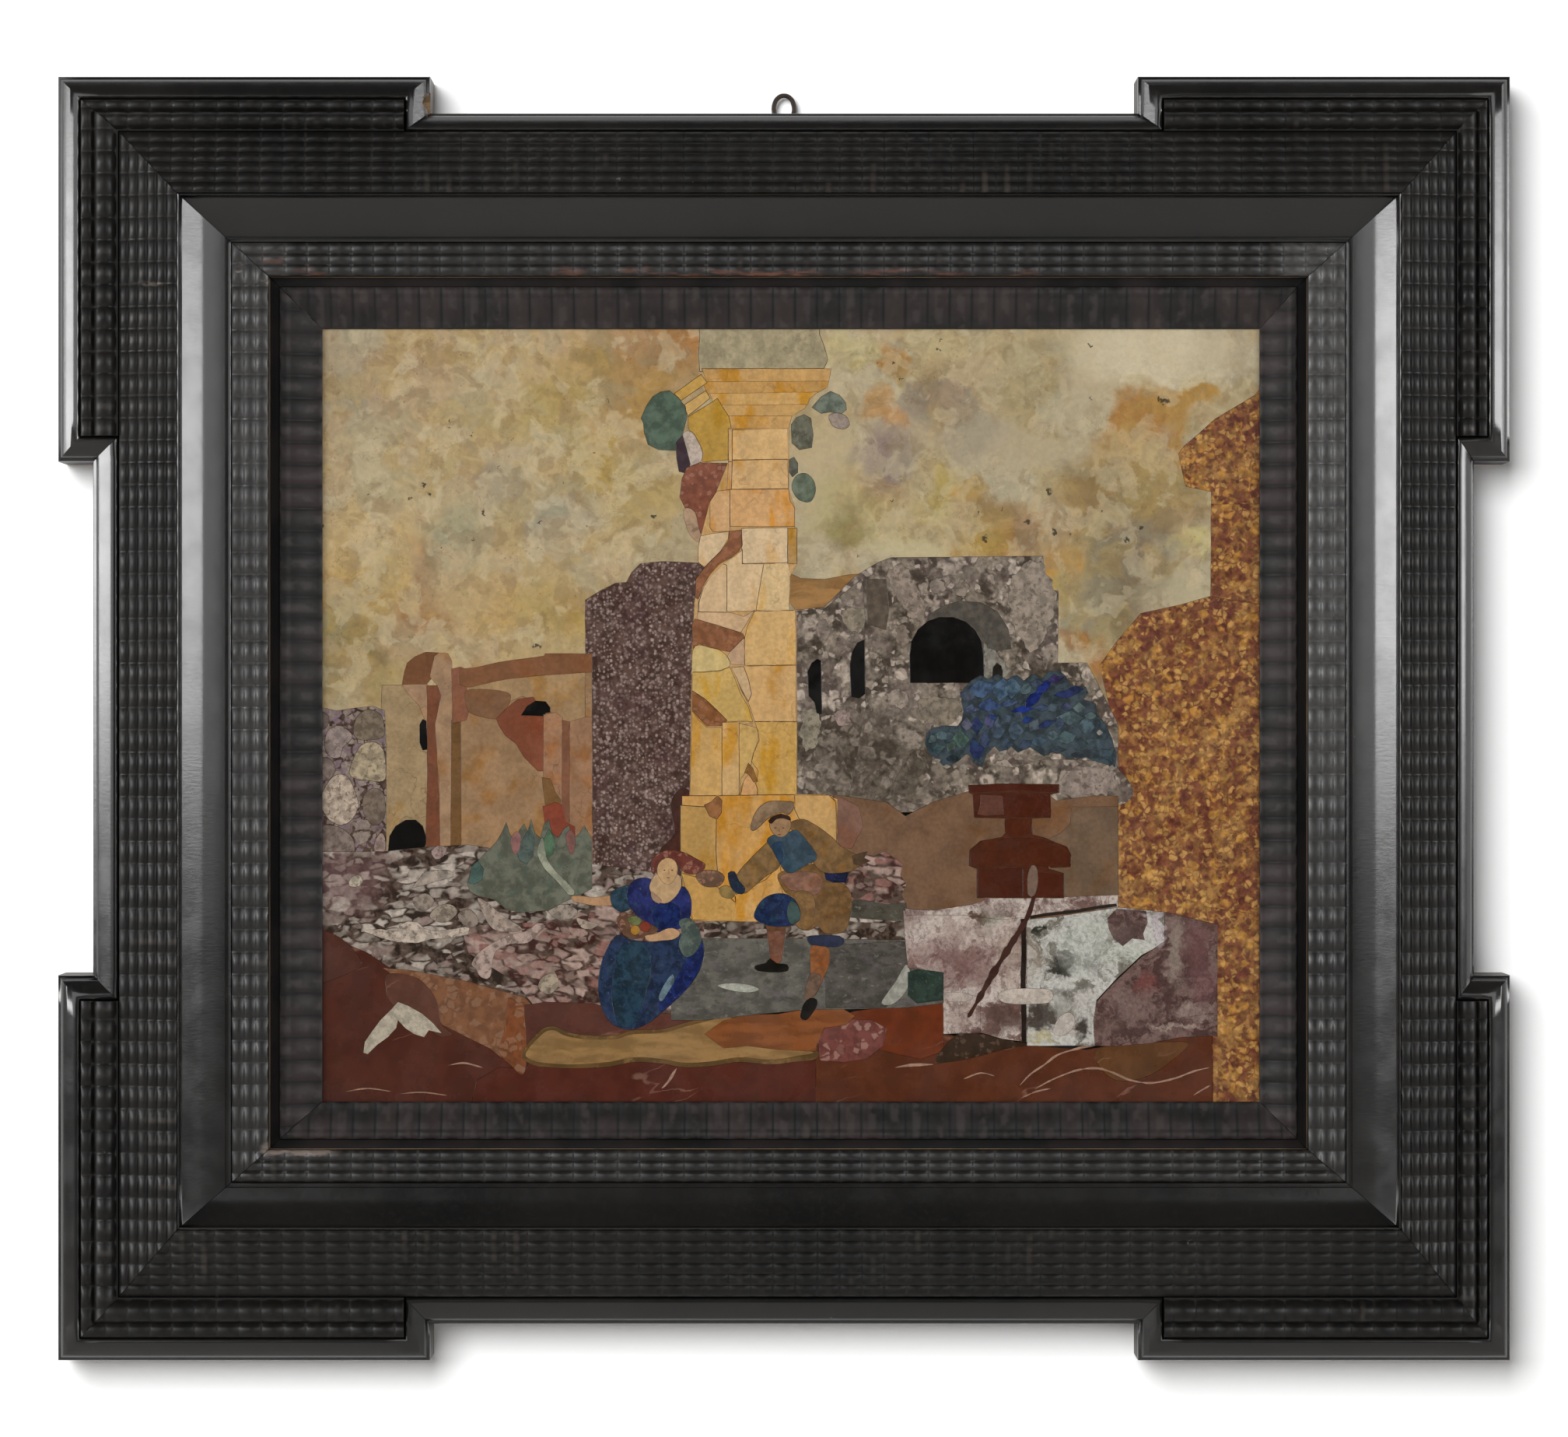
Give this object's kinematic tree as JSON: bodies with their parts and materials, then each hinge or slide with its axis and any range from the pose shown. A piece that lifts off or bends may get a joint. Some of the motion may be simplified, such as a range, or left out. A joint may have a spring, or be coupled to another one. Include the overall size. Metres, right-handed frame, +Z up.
{
  "type": "mosaic panel",
  "caption": "Inlaid stone landscape panel of ruins with seated figures in an eared, ebonised ripple-moulded wooden frame with a hanging loop.",
  "frame": {"origin": "in the wall plane, where a wall hook bears under the crown of the hanging loop at the top centre of the frame", "axes": "+Z up, +X to the right for a viewer facing the picture, -Y out of the wall towards the viewer; the back of the frame lies in y = 0"},
  "size_m": [0.56, 0.0363, 0.495],
  "materials": {
    "ebonised_wood": "ebonised, polished, ripple-cut",
    "softwood": "aged bare softwood",
    "wrought_iron": "dark rusted forged iron",
    "slate": "split slate",
    "sky_alabaster_warm": "polished",
    "sky_alabaster_pale": "polished",
    "orange_breccia": "polished",
    "grey_breccia": "polished",
    "tan_limestone": "polished",
    "porphyry": "polished",
    "beige_marble": "polished",
    "pebble_breccia": "polished",
    "red_marble": "polished",
    "ground_breccia": "polished",
    "grey_green_marble": "polished",
    "green_stone": "polished",
    "lapis": "polished",
    "giallo_gold": "polished",
    "giallo_pale": "polished",
    "grey_marble": "polished",
    "ochre_alabaster": "polished",
    "white_violet_marble": "polished",
    "dark_red_marble": "polished",
    "dress_lapis": "polished",
    "coat_stone": "polished"
  },
  "bodies": {
    "root": {"fine_ripple_top": "ebonised_wood", "hollow_top": "ebonised_wood", "inner_ripple_top": "ebonised_wood", "sight_moulding_top": "ebonised_wood", "edge_bead_top": "ebonised_wood", "rail_top": "softwood", "fine_ripple_bottom": "ebonised_wood", "hollow_bottom": "ebonised_wood", "inner_ripple_bottom": "ebonised_wood", "sight_moulding_bottom": "ebonised_wood", "edge_bead_bottom": "ebonised_wood", "rail_bottom": "softwood", "fine_ripple_left": "ebonised_wood", "hollow_left": "ebonised_wood", "inner_ripple_left": "ebonised_wood", "sight_moulding_left": "ebonised_wood", "edge_bead_left": "ebonised_wood", "rail_left": "softwood", "fine_ripple_right": "ebonised_wood", "hollow_right": "ebonised_wood", "inner_ripple_right": "ebonised_wood", "sight_moulding_right": "ebonised_wood", "edge_bead_right": "ebonised_wood", "rail_right": "softwood", "ear_batten_top_left": "softwood", "ear_bead_top_left": "ebonised_wood", "ear_ripple_top_left": "ebonised_wood", "ear_batten_top_right": "softwood", "ear_bead_top_right": "ebonised_wood", "ear_ripple_top_right": "ebonised_wood", "ear_batten_bottom_left": "softwood", "ear_bead_bottom_left": "ebonised_wood", "ear_ripple_bottom_left": "ebonised_wood", "ear_batten_bottom_right": "softwood", "ear_bead_bottom_right": "ebonised_wood", "ear_ripple_bottom_right": "ebonised_wood", "hanging_loop": "wrought_iron", "slate_back": "slate", "sky_stone_left": "sky_alabaster_warm", "sky_stone_right": "sky_alabaster_pale", "cliff_breccia": "orange_breccia", "ruin_breccia": "grey_breccia", "tan_wall_stone": "tan_limestone", "porphyry_wall": "porphyry", "house_stone": "beige_marble", "boulder_wall_stone": "pebble_breccia", "red_ground_marble": "red_marble", "breccia_ground": "ground_breccia", "water_marble": "grey_green_marble", "green_bush_stone": "green_stone", "blue_bush_stone": "lapis", "column_plinth": "giallo_gold", "column_shaft": "giallo_pale", "column_capital": "giallo_gold", "column_drum": "grey_marble", "ochre_bank_stone": "ochre_alabaster", "white_violet_blocks": "white_violet_marble", "urn_stone": "dark_red_marble", "seated_woman_stone": "dress_lapis", "seated_man_stone": "coat_stone"}
  },
  "joints": []
}
